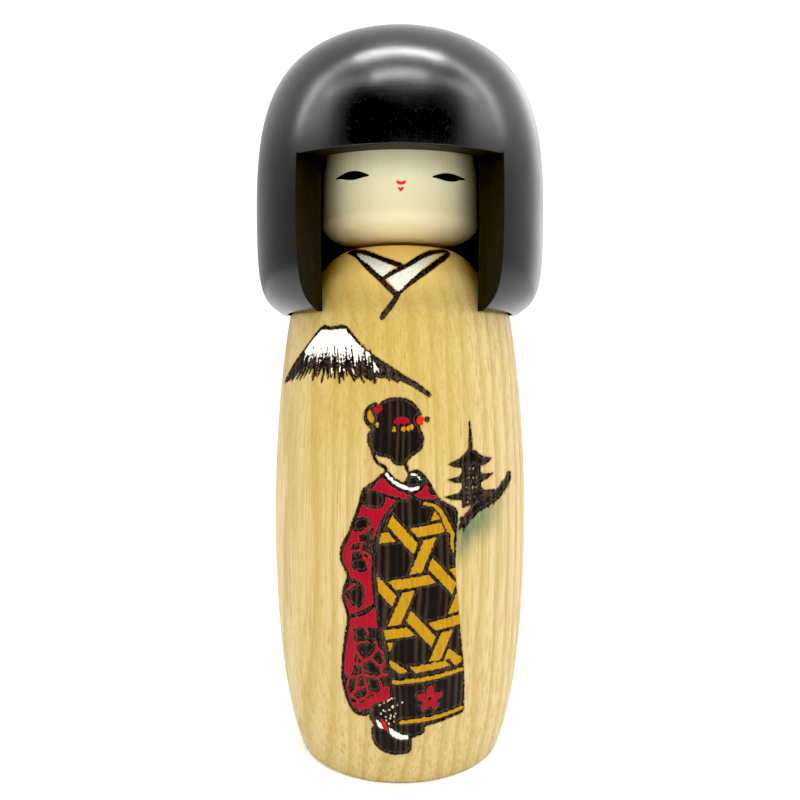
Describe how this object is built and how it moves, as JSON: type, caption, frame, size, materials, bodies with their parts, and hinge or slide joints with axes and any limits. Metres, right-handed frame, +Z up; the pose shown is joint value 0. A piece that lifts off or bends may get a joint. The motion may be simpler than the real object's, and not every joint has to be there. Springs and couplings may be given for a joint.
{
  "type": "kokeshi doll",
  "caption": "Turned wooden kokeshi doll with a barrel body, a pale face drum in a black hollow-turned hair hood, and a head that turns on a dowel.",
  "frame": {"origin": "centre of the foot, on the surface the doll stands on", "axes": "+Z up along the turning axis of the doll, face towards -Y, +X to the right seen from in front"},
  "size_m": [0.08, 0.0797, 0.1978],
  "materials": {
    "body_wood": "sanded and waxed, straight upright grain, with a drawing on the front burned into the wood and painted in ochre, crimson and white",
    "dowel_wood": "plain turned beech",
    "face_wood": "very pale close-grained wood, sanded smooth, with small painted eyes and lips",
    "hair_lacquer": "turned wood under satin black lacquer"
  },
  "bodies": {
    "body": {"body": "body_wood"},
    "head": {"neck_dowel": "dowel_wood", "head": "face_wood", "hair_hood": "hair_lacquer"}
  },
  "joints": [
    {"name": "head_turn", "type": "hinge", "parent": "body", "child": "head", "pos_m": [0, 0, 0.14], "axis": [0, 0, 1], "continuous": true}
  ]
}
